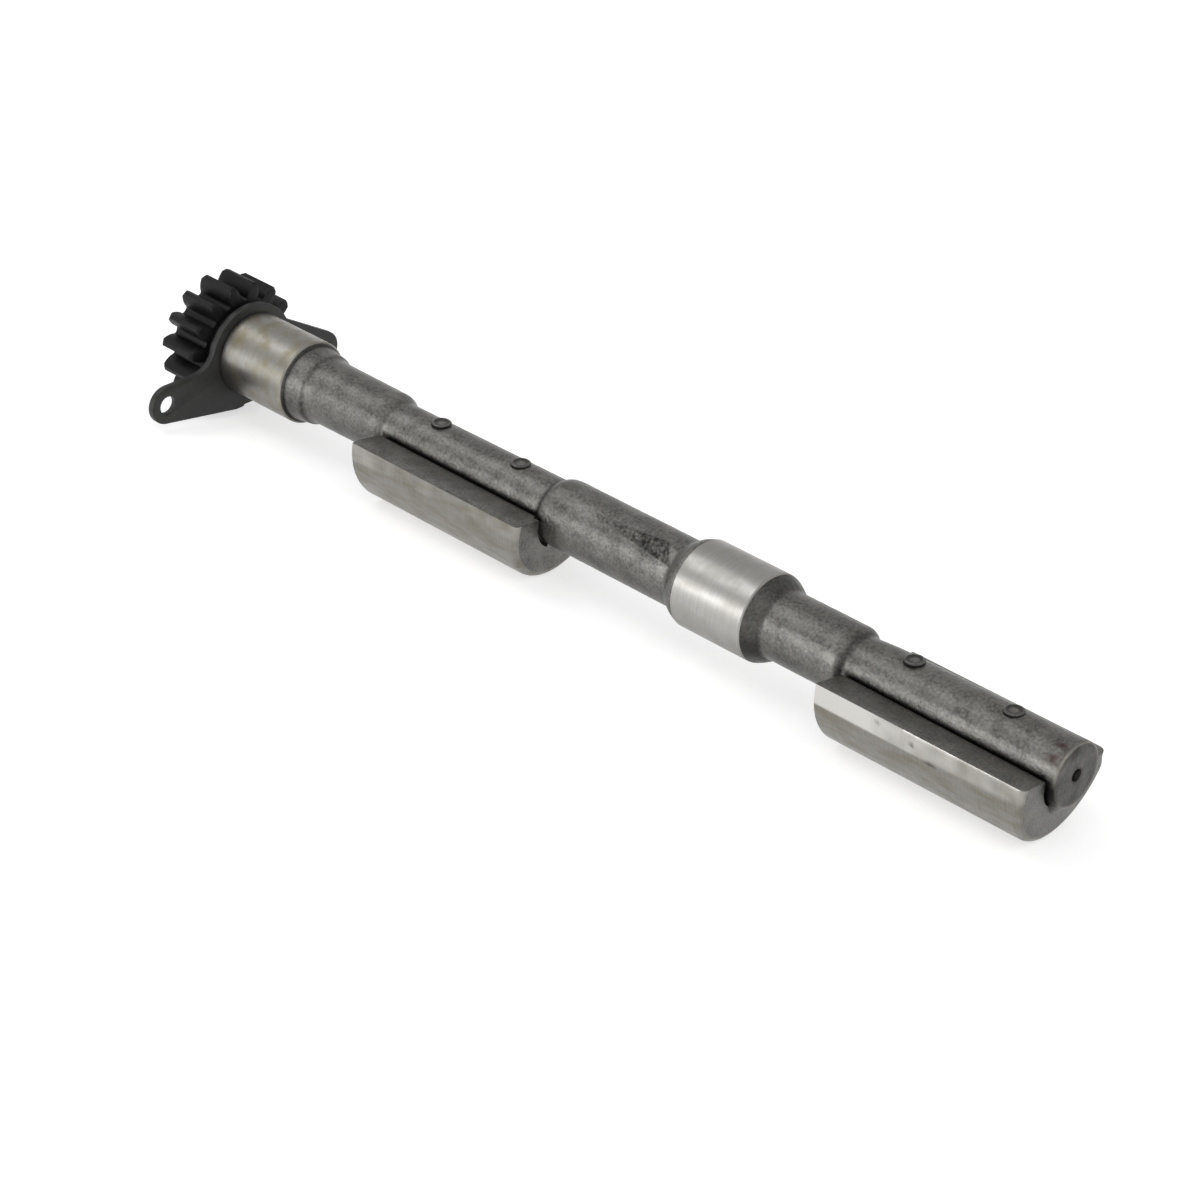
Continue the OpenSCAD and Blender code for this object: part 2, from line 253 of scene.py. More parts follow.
def ground_journal(look):
    """Cylindrically ground iron: bright, with fine rings from the wheel and dried oil blotches."""
    material, tree, shader, spot = new_material("cast_iron_ground_journal")
    # Rings about 0.5 mm wide round the axis, and blotches about 9 mm wide.
    rings = noise_texture(tree, drawn_out(tree, spot, (1.0, 0.04, 0.04)), 0.5, 3.0)
    blotch = noise_texture(tree, spot, 9, 5.0, 0.6)
    # The front journal is duller and has taken more oil than the middle one.
    place = put(tree, "ShaderNodeSeparateXYZ", {0: spot}).outputs
    most = ramp(tree, place["X"], 30 * MM, 240 * MM, 1.0, 0.25)
    iron = mix(tree, most, look.ground, look.ground_dull)
    oiled = mix(tree, ramp(tree, blotch, 0.42, 0.66, 0.0, most), iron, look.ground_stain)
    # Painted shade: darker towards the underside.
    underside_shade = ramp(tree, place["Z"], -13 * MM, -3 * MM, 0.66, 1.0)
    tone = put(tree, "ShaderNodeMath", {0: ramp(tree, rings, 0.3, 0.7, 0.9, 1.06), 1: underside_shade},
               operation="MULTIPLY")
    skin = mix(tree, 1.0, oiled, tone.outputs[0], "MULTIPLY")
    rough = ramp(tree, blotch, 0.3, 0.7, 0.32, 0.44)
    join_shader(tree, shader, skin, rough, rings, 0.15, 0.05)
    shader.inputs["Metallic"].default_value = 1.0
    return material


def turned_side(look):
    """Turned iron left to dull: mid grey, with blotchy streaks along the weight and small pits."""
    material, tree, shader, spot = new_material("cast_iron_turned_side")
    # Streaks 3 mm wide and four times as long, and tool lines drawn at 0.7 mm so that they show.
    streak = noise_texture(tree, drawn_out(tree, spot, (0.25, 1.0, 1.0)), 3, 5.0, 0.6)
    lines = noise_texture(tree, drawn_out(tree, spot, (1.0, 0.05, 0.05)), 0.7, 3.0)
    stain = ramp(tree, streak, 0.4, 0.7, 0.0, 0.9)
    oiled = mix(tree, stain, look.turned, look.turned_stain)
    skin = mix(tree, 1.0, oiled, ramp(tree, lines, 0.3, 0.7, 0.88, 1.08), "MULTIPLY")
    bright = mix(tree, stored(tree, "rub"), skin, look.rubbed)
    # Darkened by the stored painted shade, such as in the centre holes and the pits.
    shaded_and_soiled = mix(tree, stored(tree, "shade_and_soil"), bright, look.cast_shade_and_soil)
    rough = ramp(tree, streak, 0.3, 0.7, 0.32, 0.45)
    join_shader(tree, shader, shaded_and_soiled, rough, lines, 0.2, 0.08)
    shader.inputs["Metallic"].default_value = 0.9
    return material


def phosphated_steel(name, tint, grain_mm, dusty, shine):
    """Manganese-phosphated steel, oiled: near black, faintly grained, greyer where it is rubbed."""
    material, tree, shader, spot = new_material(name)
    # Fine grain of the coating, and clouds of dried oil about 7 mm wide.
    grain = noise_texture(tree, spot, grain_mm, 5.0, 0.6)
    cloud = noise_texture(tree, spot, 7, 3.0)
    tone = put(tree, "ShaderNodeMath", {0: grain, 1: cloud}, operation="ADD")
    shade = ramp(tree, tone.outputs[0], 0.7, 1.3, 0.6, dusty)
    skin = mix(tree, 1.0, tint, shade, "MULTIPLY")
    rough = ramp(tree, cloud, 0.3, 0.7, 0.4, 0.58)
    join_shader(tree, shader, skin, rough, grain, 0.3, 0.1)
    shader.inputs["Specular IOR Level"].default_value = shine
    return material


def drawn_key_steel(look):
    """Cold-drawn key steel: plain satin grey with faint draw lines along the shaft."""
    material, tree, shader, spot = new_material("key_steel_drawn")
    lines = noise_texture(tree, drawn_out(tree, spot, (0.05, 1.0, 1.0)), 0.4)
    skin = mix(tree, 1.0, look.key, ramp(tree, lines, 0.3, 0.7, 0.85, 1.1), "MULTIPLY")
    tree.links.new(skin, shader.inputs["Base Color"])
    shader.inputs["Metallic"].default_value = 0.9
    shader.inputs["Roughness"].default_value = 0.35
    return material


def finish_named(name, make, *args):
    """The material of that name, made at its first use."""
    return bpy.data.materials.get(name) or make(*args)


# Meshes

def smooth_step(low, high, value):
    """0 below low, 1 above high, smooth between."""
    t = min(1, max(0, (value - low) / (high - low)))
    return t * t * (3 - 2 * t)


def bell(value, centre, half_width):
    """1 at the centre, falling smoothly to 0 at half_width."""
    return 1 - smooth_step(0, half_width, abs(value - centre))


def grit(point, size_mm):
    """Smooth noise from -1 to 1 with features of that size."""
    return noise.noise(point / (size_mm * MM))


def object_from(name, mesh):
    """Links a mesh into the scene as an object at the origin."""
    piece = bpy.data.objects.new(name, mesh)
    bpy.context.scene.collection.objects.link(piece)
    return piece


def soften(mesh, degrees):
    """Smooth shading with edges sharper than the angle kept."""
    mesh.shade_smooth()
    mesh.set_sharp_from_angle(angle=math.radians(degrees))


def bake_modifiers(piece):
    """Turns an object's modifiers into its plain mesh."""
    graph = bpy.context.evaluated_depsgraph_get()
    mesh = bpy.data.meshes.new_from_object(piece.evaluated_get(graph))
    piece.modifiers.clear()
    piece.data = mesh


def add_attribute(mesh, name, values):
    """Stores one number for each vertex."""
    mesh.attributes.new(name, "FLOAT", "POINT").data.foreach_set("value", values)


def face_outward(mesh):
    """Turns all faces outwards and splits those with more than four corners."""
    form = bmesh.new()
    form.from_mesh(mesh)
    bmesh.ops.triangulate(form, faces=[f for f in form.faces if len(f.verts) > 4])
    bmesh.ops.recalc_face_normals(form, faces=form.faces)
    form.to_mesh(mesh)
    form.free()


def grid_faces(rows, count):
    """Faces between rows of count points, where each row closes on itself."""
    return [(i * count + k, i * count + (k + 1) % count,
             (i + 1) * count + (k + 1) % count, (i + 1) * count + k)
            for i in range(rows - 1) for k in range(count)]


def finish_piece(piece, body, slot, *nodes):
    """Ties a finished piece to its body and hides the solids that it stands for; slot is not used.
    """
    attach(piece, body)
    if nodes:
        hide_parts(*nodes)


def shoulder(x, points):
    """Outline points of a cast shoulder: millimetres from x, and radius."""
    return [(x + along * MM, radius, "cast") for along, radius in points]


def curve_up(x0, r0, x1, r1, power, zone):
    """Outline points that climb from r0 to r1: convex for a power under 1."""
    return [(x0 + (x1 - x0) * i / 10, r0 + (r1 - r0) * (i / 10) ** power, zone)
            for i in range(11)]


def journal_outline(x0, x1, radius):
    """A ground journal with broken edges."""
    edge = 0.6 * MM
    return [(x0, radius - edge, "ground"), (x0 + edge, radius, "ground"),
            (x1 - edge, radius, "ground"), (x1, radius - edge, "cast")]


def shaft_outline(size, weight):
    """Outline of the shaft as distance from the thrust face, radius and finish to the next."""
    jr = size.journal_d / 2
    front, rear = size.seat_end_x, size.rear_end_x
    mid_end = size.mid_journal_x + size.mid_journal_l
    first_end = weight.first_x + weight.long
    second_end = weight.second_x + weight.long
    neck = size.neck_front_d / 2
    first_neck, second_neck = size.first_neck_d / 2, size.second_neck_d / 2
    # Radius of the centre drilling and of its cone's mouth, length of the cone, and depth.
    drill, cone, cone_l, deep = 1.3 * MM, 2.7 * MM, 2.42 * MM, 8 * MM
    # The gear seat steps up to the plate's neck here.
    step_x = -3.4 * MM
    outline = [(front + deep, drill, "turned"), (front + cone_l, drill, "turned"),
               (front, cone, "turned"), (front, size.seat_d / 2 - MM, "turned"),
               (front + MM, size.seat_d / 2, "turned"), (step_x, size.seat_d / 2, "turned"),
               (step_x, size.plate_neck_d / 2, "ground"), (0, size.plate_neck_d / 2, "ground")]
    stem, mid, last = size.front_stem_d / 2, size.mid_stem_d / 2, size.rear_stem_d / 2
    outline += journal_outline(0, size.front_journal_l, jr)
    outline += shoulder(size.front_journal_l, (
        (0.4, jr - 0.9 * MM), (1, jr - 1.8 * MM), (6, jr - 2.6 * MM), (9, jr - 2.9 * MM),
        (10, stem + 1.2 * MM), (11.5, stem + 0.6 * MM), (13.5, stem + 0.3 * MM)))
    outline += shoulder(weight.first_x, (
        (-7.2, stem), (-5.4, stem - 0.45 * MM), (-3.4, stem - 1.5 * MM), (-1.6, neck + 0.2 * MM),
        (-0.8, neck)))
    outline += shoulder(first_end, (
        (-4.2, first_neck), (-3.4, first_neck + 0.3 * MM), (-2.4, first_neck + 1.1 * MM),
        (-1.4, first_neck + 1.6 * MM), (-0.2, mid - 0.35 * MM), (1.6, mid - 0.1 * MM), (4, mid)))
    outline += shoulder(size.mid_journal_x, (
        (-8, mid), (-6.8, mid + 0.35 * MM), (-5.4, jr - 2.8 * MM), (-3.4, jr - 1.5 * MM),
        (-1.4, jr - 0.7 * MM), (-0.3, jr - 0.5 * MM)))
    outline += journal_outline(size.mid_journal_x, mid_end, jr)
    outline += shoulder(mid_end, (
        (0.6, jr - 0.2 * MM), (1.6, jr - 0.6 * MM), (3.6, jr - 1.6 * MM), (5.6, jr - 2.75 * MM),
        (6.6, jr - 3.55 * MM), (7.5, last + 0.1 * MM), (8.4, last)))
    outline += shoulder(weight.second_x, (
        (-6.9, last), (-5.4, last - 0.15 * MM), (-4.4, last - 0.55 * MM), (-3.3, last - 1.3 * MM),
        (-2.2, neck + 0.6 * MM), (-1.2, neck + 0.35 * MM)))
    outline += curve_up(weight.second_x, neck + 0.3 * MM, second_end, second_neck, 0.4, "cast")
    outline += [(rear - MM, second_neck, "turned"),
                (rear - 0.3 * MM, second_neck - 0.3 * MM, "turned"),
                (rear, second_neck - MM, "cast"), (rear, cone, "turned"),
                (rear - cone_l, drill, "turned"), (rear - deep, drill, "turned")]
    return outline


def fine_rings(outline):
    """The outline with its long runs cut into short rings."""
    rings = []
    for (x0, r0, zone), (x1, r1, _) in zip(outline, outline[1:]):
        # Finer rings where the rough patch on the middle stem lies.
        fine = 0.6 * MM if 215 * MM < x0 < 274 * MM or 201 * MM < x1 < 268 * MM else 1.4 * MM
        count = 1 if zone == "ground" else max(1, math.ceil(math.hypot(x1 - x0, r1 - r0) / fine))
        rings += [(x0 + (x1 - x0) * i / count, r0 + (r1 - r0) * i / count, zone)
                  for i in range(count)]
    return rings + [outline[-1]]


def marking_patch(x, degrees):
    """How far a point lies inside the rough raised patch on the middle stem, 0 to 1."""
    patch_x, patch_l = 216 * MM, 52 * MM
    along = (x - patch_x) / patch_l
    low, high = 131 - 6 * along - 17 * along ** 2, 134 + 23 * along
    # Its rear end slants by 0.22 mm for each degree.
    end = x - 0.22 * MM * (degrees - 114)
    inside = smooth_step(0, 0.04, along) * (1 - smooth_step(257 * MM, 259 * MM, end))
    return inside * smooth_step(low, low + 3, degrees) * (1 - smooth_step(high - 3, high, degrees))


class BALANCESHAFT_OT_shaft(bpy.types.Operator):
    """Turns the shaft from its outline and gives its cast parts their skin"""
    bl_idname = "balance_shaft.shaft"
    bl_label = "Shaft"

    def execute(self, context):
        size, weight = context.scene.shaft_sizes, context.scene.weight_sizes
        look = context.scene.shaft_finishes
        rings = fine_rings(shaft_outline(size, weight))
        segments = 160
        zones = {"cast": 0, "ground": 1, "turned": 2}
        verts, shade_and_soil, scorch = [], [], []
        for i, (x, radius, zone) in enumerate(rings):
            cast = zone == "cast" and rings[i - 1][2] == "cast"
            for k in range(segments):
                turn = TAU * k / segments
                side = Vector((0, math.cos(turn), math.sin(turn)))
                at = Vector((x + FACE_X, 0, 0)) + side * radius
                lift, dark, burn = self.skin(x, math.degrees(turn), at, size, weight)
                verts.append(at + side * lift if cast else at)
                shade_and_soil.append(dark if zone != "ground" else 0)
                scorch.append(burn)
        faces = grid_faces(len(rings), segments)
        finish = [zones[ring[2]] for ring in rings[:-1] for _ in range(segments)]
        # The bottoms of both centre holes are closed.
        for ring, pole_x in ((0, rings[0][0]), (len(rings) - 1, rings[-1][0])):
            verts.append(Vector((pole_x + FACE_X, 0, 0)))
            # Painted shade at the bottom of each hole.
            shade_and_soil.append(1)
            scorch.append(0)
            for k in range(segments):
                pair = (ring * segments + (k + 1) % segments, ring * segments + k)
                faces.append((len(verts) - 1,) + (pair if ring == 0 else pair[::-1]))
                finish.append(zones["turned"])
        mesh = bpy.data.meshes.new("shaft_casting")
        mesh.from_pydata(verts, [], faces)
        add_attribute(mesh, "shade_and_soil", shade_and_soil)
        add_attribute(mesh, "scorch", scorch)
        mesh.materials.append(finish_named("cast_iron_blasted_skin", cast_iron_skin, look))
        mesh.materials.append(finish_named("cast_iron_ground_journal", ground_journal, look))
        mesh.materials.append(finish_named("cast_iron_turned_side", turned_side, look))
        mesh.polygons.foreach_set("material_index", finish)
        face_outward(mesh)
        soften(mesh, 32)
        piece = object_from("shaft_casting", mesh)
        finish_piece(piece, "shaft_and_gear", "cast_shaft", "shaft")
        return {"FINISHED"}

    @staticmethod
    def skin(x, degrees, at, size, weight):
        """Lift of the cast skin, painted shade with some dirt, and heat mark at one point."""
        lift = size.casting_grit * (0.7 * grit(at, 2.6) + 0.5 * grit(at, 1.1))
        front_end = size.front_journal_l
        mid_end = size.mid_journal_x + size.mid_journal_l
        first_end = weight.first_x + weight.long
        # Painted shade in the corners of the casting: near which end, how far off, half width and
        # share.
        corners = ((front_end, 0.8, 1.6, 0.6), (front_end, 10.2, 1.4, 0.4),
                   (size.mid_journal_x, -3, 4, 0.2), (first_end, -3.4, 1.8, 0.7),
                   (weight.first_x, -2.4, 2.4, 0.25), (weight.second_x, -2.6, 2.6, 0.5))
        dark = sum(share * bell(x, end + off * MM, half * MM) for end, off, half, share in corners)
        # Painted shade on the shoulders behind both journals.
        dark += 0.2 * smooth_step(front_end, front_end + MM, x) * bell(x, front_end, 10 * MM)
        dark += 0.5 * (smooth_step(mid_end, mid_end + 0.6 * MM, x)
                       - smooth_step(mid_end + 6.6 * MM, mid_end + 8.2 * MM, x))
        # Painted shade in the channels beside the stem, and on the underside of the stems.
        for start in (weight.first_x, weight.second_x):
            if start - MM < x < start + weight.long + MM:
                dark += bell(at.z, -0.4 * MM, 2.6 * MM)
        dark += 0.36 * smooth_step(176, 212, degrees) * (1 - smooth_step(300, 345, degrees))
        # The rough patch on the middle stem, darker towards its rear end and between its lumps.
        patch = marking_patch(x, degrees)
        if patch > 0:
            lumps = 0.7 * grit(at, 1.7) + 0.8 * grit(at, 0.9)
            lift += patch * MM * (0.15 + 0.22 * lumps)
            along = smooth_step(220 * MM, 245 * MM, x)
            dark += patch * (0.25 + 0.4 * along - 0.7 * lumps)
        rear = size.rear_end_x
        second_end = weight.second_x + weight.long
        # Painted shade on the stem's side where it stands out behind the second weight, on its
        # near, lower side.
        dark += 0.95 * smooth_step(second_end - 4 * MM, second_end, x) * bell(degrees, 206, 44)
        # A skirt joins the stem to the second weight's end on its lower and far side.
        skirt = smooth_step(238, 266, degrees) * (1 - smooth_step(335, 352, degrees))
        if x > rear - 9 * MM:
            lift += skirt * min(8 * MM, max(0, rear - 0.6 * MM - x))
        # The end face is darker, and darker still near its top.
        if x > rear - 0.1 * MM:
            stain = at - Vector((at.x, -3.9 * MM, 9.7 * MM))
            dark = 0.6 + 0.25 * grit(at, 4) + 0.4 * bell(stain.length, 0, 5 * MM)
        # Painted shade inside the centre holes.
        if math.hypot(at.y, at.z) < 2.8 * MM:
            dark = 0.95
        # Two heat marks on the stem's rear end.
        burn = 1.1 * bell(x, rear - 4 * MM, 5.5 * MM) * bell(degrees, 147, 15)
        burn += bell(x, rear - 4.5 * MM, 5.5 * MM) * bell(degrees, 122, 14)
        burn *= 0.7 + 0.9 * grit(at, 2.4)
        return lift, min(0.97, max(0, dark)), min(1, max(0, burn))


def weight_section(weight, radius, channel_r, inner_near):
    """Points across a weight: y, z and finish to the next. The inner edge hides in the stem."""
    deep, inner = weight.channel_deep, 8 * MM
    wall = math.sqrt(channel_r ** 2 - deep ** 2)
    points = [(-channel_r, -0.35 * MM, "ledge"), (-channel_r - 0.4 * MM, 0, "ledge")]
    points += [(-channel_r - 0.4 * MM - (radius - channel_r - MM) * i / 8, 0, "ledge")
               for i in range(1, 9)]
    points.append((-radius + 0.15 * MM, -0.2 * MM, "side"))
    for i in range(91):
        turn = math.radians(181.2 + 177.6 * i / 90)
        points.append((radius * math.cos(turn), radius * math.sin(turn), "side"))
    far = [(-y, z, "ledge") for y, z, _ in reversed(points[:11])]
    points += far + [(wall, -deep, "ledge"), (inner, -deep, "hidden")]
    for i in range(1, 24):
        turn = -math.radians(11.5 + 157 * i / 24)
        reach = inner_near if inner_near and i > 14 else inner
        points.append((reach * math.cos(turn), reach * math.sin(turn), "hidden"))
    reach = inner_near or inner
    points += [(-math.sqrt(reach ** 2 - deep ** 2), -deep, "ledge"),
               (-max(wall, reach + 0.1 * MM), -deep, "ledge")]
    return points


def rubbed_share(at, x, y, z, flat_l, long):
    """How bright the near upper edge of a weight is rubbed or ground, 0 to 1."""
    if y > 0:
        return 0
    along = smooth_step(flat_l, long, x)
    low = (-7.9 + 2.6 * along) * MM
    band = 1 - smooth_step(0, (0.8 + 2 * along) * MM, low - z)
    if not flat_l:
        patchy = 0.3 * bell(x, 0, 0.3 * long) + 0.18 * bell(x, long, 0.25 * long)
        return band * max(0, patchy + 0.2 * grit(at, 7))
    ground = 1 - smooth_step(flat_l - 17 * MM, flat_l - 3 * MM, x + 4 * MM * grit(at, 5))
    return band * max(0, 0.95 * ground + (1 - ground) * (0.55 - 0.28 * along + 0.3 * grit(at, 6)))


# Pits on the second weight's near side, painted as dark spots for their shade and dirt, in
# millimetres: x, z, times as long, half width, darkness.
PITS = ((48, -4.5, 1.2, 1.6, 0.8), (57, -8.7, 3, 1.4, 0.75), (31, -3, 1.5, 1.3, 0.5))


def pit_shade_and_soil(x, z):
    """How dark a point on the second weight's near side is by its pits: their painted shade and
    dirt, as the mesh has no dents.
    """
    return max(share * bell(math.hypot((x - along * MM) / times, z - high * MM), 0, half * MM)
               for along, high, times, half, share in PITS)


class BALANCESHAFT_OT_weights(bpy.types.Operator):
    """Lofts the two half-round counterweights with their ledges, channels and slanted ends"""
    bl_idname = "balance_shaft.weights"
    bl_label = "Counterweights"

    def execute(self, context):
        size, weight = context.scene.shaft_sizes, context.scene.weight_sizes
        look = context.scene.shaft_finishes
        rows = (("first_weight", weight.first_x, size.first_neck_d, size.mid_stem_d, 0),
                ("second_weight", weight.second_x, size.second_neck_d, size.second_neck_d,
                 weight.flat_l))
        for name, start, neck_d, end_stem_d, flat_l in rows:
            mesh = self.loft(name, size, weight, start, neck_d / 2, end_stem_d / 2, flat_l)
            mesh.materials.append(finish_named("cast_iron_blasted_skin", cast_iron_skin, look))
            mesh.materials.append(finish_named("cast_iron_turned_side", turned_side, look))
            piece = object_from(name, mesh)
            finish_piece(piece, "shaft_and_gear", "cast_shaft", "shaft")
        return {"FINISHED"}

    @staticmethod
    def loft(name, size, weight, start, neck_r, end_stem_r, flat_l):
        """One weight as rows of sections from its front end to its slanted rear end."""
        radius = weight.diameter / 2
        groove_r = end_stem_r + weight.groove_w
        front_neck = size.neck_front_d / 2
        # Each station: distance from the front end, set back from the slanted rear end, how much
        # the radius grows, and whether the groove round the stem is open there.
        broken_edge = ((0, -0.5), (0.15, -0.15), (0.5, 0))
        stations = [(x * MM, 0, cut * MM, False) for x, cut in broken_edge]
        steps = 80
        for i in range(1, steps):
            stations.append((weight.long * i / steps, 0, 0, False))
        if flat_l:
            stations += [(flat_l, 0, 0, False), (flat_l + 0.3 * MM, 0, 0, False)]
        stations.sort()
        stations = [s for s in stations if s[0] < weight.long - 5 * MM]
        groove = weight.groove_deep + 0.4 * MM
        stations += [(weight.long, -groove, 0, False), (weight.long, -groove + 0.1 * MM, 0, True)]
        for degrees in range(0, 91, 15):
            a = math.radians(degrees)
            stations.append((weight.long, weight.rim_r * (math.sin(a) - 1),
                             weight.rim_r * (math.cos(a) - 1), True))
        verts, shade_and_soil, rub, zones = [], [], [], []
        lean, skew, longer = weight.end_lean, weight.end_skew, 0
        if flat_l:
            lean, skew, longer = weight.second_lean, weight.second_skew, weight.second_longer
        # The ground flat faces 186.75 degrees from +y and takes 8.25 degrees to each side.
        facing = math.radians(186.75)
        plane = radius * math.cos(math.radians(8.25))
        for x, back, cut, open_groove in stations:
            share = x / weight.long
            channel = front_neck + (neck_r - front_neck) * share + weight.channel_w
            near = max(channel, groove_r + 0.2 * MM) if open_groove else channel
            points = weight_section(weight, radius + cut, near, groove_r if open_groove else 0)
            zones = [zone for _, _, zone in points]
            for y, z, zone in points:
                over = y * math.cos(facing) + z * math.sin(facing) - plane
                if flat_l and x <= flat_l and over > 0:
                    y, z = y - over * math.cos(facing), z - over * math.sin(facing)
                # The first weight's ledges fall off towards their outer edges.
                if not flat_l and y > 0 and zone != "hidden":
                    z = min(z, -3.6 * MM * smooth_step(12 * MM, 29 * MM, y))
                if not flat_l and y < 0 and zone != "hidden":
                    z = min(z, -0.8 * MM * smooth_step(27 * MM, 30.5 * MM, -y))
                slant = longer + math.tan(lean) * z - math.tan(skew) * y
                # The far corner of the rear end is rounded off.
                slant -= (1.8 * MM * smooth_step(24 * MM, radius, y)
                          * (1 - smooth_step(MM, 7 * MM, -z)))
                at = Vector((FACE_X + start + x + back + slant * smooth_step(0.5, 1, share), y, z))
                if zone == "ledge" and abs(y) < radius - MM:
                    at.z += size.casting_grit * (0.8 * grit(at, 3.1) + 0.5 * grit(at, 1.3))
                verts.append(at)
                dark = 0
                # Painted shade on the ledges: darker towards the stem, darkest along the channel.
                if zone == "ledge":
                    dark = (0.1 * (1 - smooth_step(17 * MM, 29 * MM, abs(y)))
                            + bell(abs(y), channel - 0.9 * MM, 2.4 * MM))
                # Painted shade and dirt of the pits.
                if flat_l and y < 0 and zone == "side":
                    dark = pit_shade_and_soil(x, z)
                if flat_l and open_groove and back > -0.1 * MM:
                    dark = max(dark, 0.2)
                shade_and_soil.append(min(0.97, dark))
                rub.append(rubbed_share(at, x, y, z, flat_l, weight.long) if zone == "side" else 0)
        count = len(zones)
        faces = grid_faces(len(stations), count)
        finish = [int(zone == "side") for zone in zones] * (len(stations) - 1)
        last = (len(stations) - 1) * count
        faces += [tuple(range(count)), tuple(range(last + count - 1, last - 1, -1))]
        finish += [0, 0]
        mesh = bpy.data.meshes.new(name)
        mesh.from_pydata(verts, [], faces)
        add_attribute(mesh, "shade_and_soil", shade_and_soil)
        add_attribute(mesh, "rub", rub)
        mesh.polygons.foreach_set("material_index", finish)
        face_outward(mesh)
        soften(mesh, 35)
        return mesh


def lathe_mesh(name, outline, segments, axis):
    """Turns an outline of height and radius about an axis through the origin."""
    form = bmesh.new()
    rings = []
    across = axis.orthogonal().normalized()
    for height, radius in outline:
        if radius == 0:
            rings.append([form.verts.new(axis * height)])
            continue
        rings.append([form.verts.new(axis * height + radius
                                     * (Matrix.Rotation(TAU * k / segments, 3, axis) @ across))
                      for k in range(segments)])
    for low, high in zip(rings, rings[1:]):
        for k in range(segments):
            n = (k + 1) % segments
            corners = [low[k % len(low)], low[n % len(low)],
                       high[n % len(high)], high[k % len(high)]]
            form.faces.new(list(dict.fromkeys(corners)))
    bmesh.ops.recalc_face_normals(form, faces=form.faces)
    mesh = bpy.data.meshes.new(name)
    form.to_mesh(mesh)
    form.free()
    return mesh


def open_tree(name, inputs, output):
    """A Geometry Nodes tree, the identifiers of its inputs and their sockets."""
    tree = bpy.data.node_groups.new(name, "GeometryNodeTree")
    tree.is_modifier = True
    ports = {}
    for label, kind in inputs.items():
        ports[label] = tree.interface.new_socket(label, in_out="INPUT",
                                                 socket_type="NodeSocket" + kind).identifier
    tree.interface.new_socket(output, in_out="OUTPUT", socket_type="NodeSocketGeometry")
    return tree, ports, put(tree, "NodeGroupInput").outputs


def close_tree(tree, geometry, finish):
    """Gives the geometry its finish and sends it out of the tree."""
    coat = put(tree, "GeometryNodeSetMaterial", {"Geometry": geometry, "Material": finish})
    put(tree, "NodeGroupOutput", {0: coat.outputs[0]})


def pads_tree():
    """Sets a copy of the pad form on every point and leans it."""
    tree, ports, given = open_tree(
        "pads_on_points", {"Points": "Geometry", "Pad form": "Object", "Lean": "Float",
                           "Finish": "Material"}, "Pads")
    form = put(tree, "GeometryNodeObjectInfo", {"Object": given["Pad form"]})
    lean = put(tree, "ShaderNodeCombineXYZ", {"X": given["Lean"]})
    turn = put(tree, "FunctionNodeEulerToRotation", {"Euler": lean.outputs[0]})
    set_out = put(tree, "GeometryNodeInstanceOnPoints",
                  {"Points": given["Points"], "Instance": form.outputs["Geometry"],
                   "Rotation": turn.outputs[0]})
    real = put(tree, "GeometryNodeRealizeInstances", {"Geometry": set_out.outputs[0]})
    close_tree(tree, real.outputs[0], given["Finish"])
    return tree, ports


def nodes_to_mesh(name, points, tree, values):
    """Runs a node tree on points and leaves a plain mesh object."""
    mesh = bpy.data.meshes.new(name)
    mesh.from_pydata(points, [], [])
    piece = object_from(name, mesh)
    worker = piece.modifiers.new("nodes", "NODES")
    worker.node_group = tree
    for identifier, value in values.items():
        worker[identifier] = value
    bake_modifiers(piece)
    if not piece.data.polygons:
        raise RuntimeError(name + " came out empty")
    return piece


class BALANCESHAFT_OT_pads(bpy.types.Operator):
    """Sets the four round cast pads on the stems above the weights"""
    bl_idname = "balance_shaft.pads"
    bl_label = "Cast pads"

    def execute(self, context):
        size, weight = context.scene.shaft_sizes, context.scene.weight_sizes
        radius, high = weight.pad_d / 2, weight.pad_h
        # A dished top with a raised rim, a soft outer edge and a foot inside the stem.
        outline = [(high - 0.55 * MM, 0), (high - 0.5 * MM, radius * 0.3),
                   (high - 0.45 * MM, radius * 0.55), (high - 0.1 * MM, radius * 0.68),
                   (high, radius * 0.8), (high - 0.15 * MM, radius * 0.93),
                   (high - 0.5 * MM, radius), (-3 * MM, radius), (-3 * MM, 0)]
        form_mesh = lathe_mesh("pad_form", outline, 40, Vector((0, 0, 1)))
        # Painted shade in the dish inside the rim and round the pad's foot.
        add_attribute(form_mesh, "shade_and_soil", [
            0.85 * bell(Vector(v.co[:2]).length, radius * 0.62, radius * 0.25)
            + 0.9 * smooth_step(radius * 0.9, radius, Vector(v.co[:2]).length)
            for v in form_mesh.vertices])
        form = object_from("pad_form", form_mesh)
        neck, rise = size.neck_front_d, (size.neck_front_d + size.first_neck_d) / 4
        second = (neck + 3 * size.second_neck_d) / 8
        up = Matrix.Rotation(weight.pad_lean, 3, "X") @ Vector((0, 0, 1))
        points = [Vector((FACE_X + start + along * MM, 0, 0)) + up * lift
                  for start, lift in ((weight.first_x, rise), (weight.second_x, second))
                  for along in (22.8, 70.6)]
        tree, ports = pads_tree()
        finish = finish_named("cast_iron_blasted_skin", cast_iron_skin,
                              context.scene.shaft_finishes)
        piece = nodes_to_mesh("cast_pads", points, tree,
                              {ports["Pad form"]: form, ports["Lean"]: weight.pad_lean,
                               ports["Finish"]: finish})
        bpy.data.objects.remove(form)
        soften(piece.data, 40)
        finish_piece(piece, "shaft_and_gear", "cast_shaft", "shaft")
        return {"FINISHED"}


